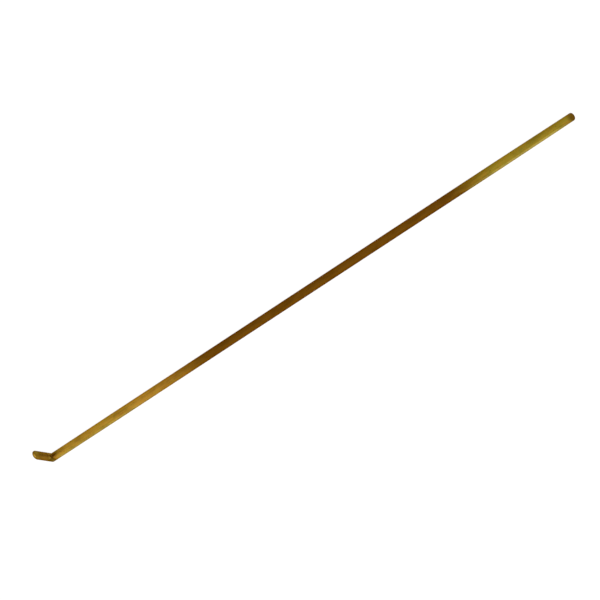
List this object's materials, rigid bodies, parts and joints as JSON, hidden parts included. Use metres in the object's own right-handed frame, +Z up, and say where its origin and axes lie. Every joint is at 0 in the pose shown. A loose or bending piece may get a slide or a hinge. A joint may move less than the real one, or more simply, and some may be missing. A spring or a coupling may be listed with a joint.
{
  "type": "garden dibber",
  "caption": "Slim L-shaped dibber bent from round brass rod: long straight shank with a gently tapered free end and a short square-bent toe.",
  "frame": {"origin": "under the middle of the bounding box, on the surface that the tool lies on", "axes": "+X along the shank from the bend to the free end, +Y from the shank towards the tip of the toe, +Z up"},
  "size_m": [0.3, 0.0102, 0.0032],
  "materials": {
    "brass": "drawn brass, satin, browned with age"
  },
  "bodies": {
    "root": {"rod": "brass"}
  },
  "joints": []
}
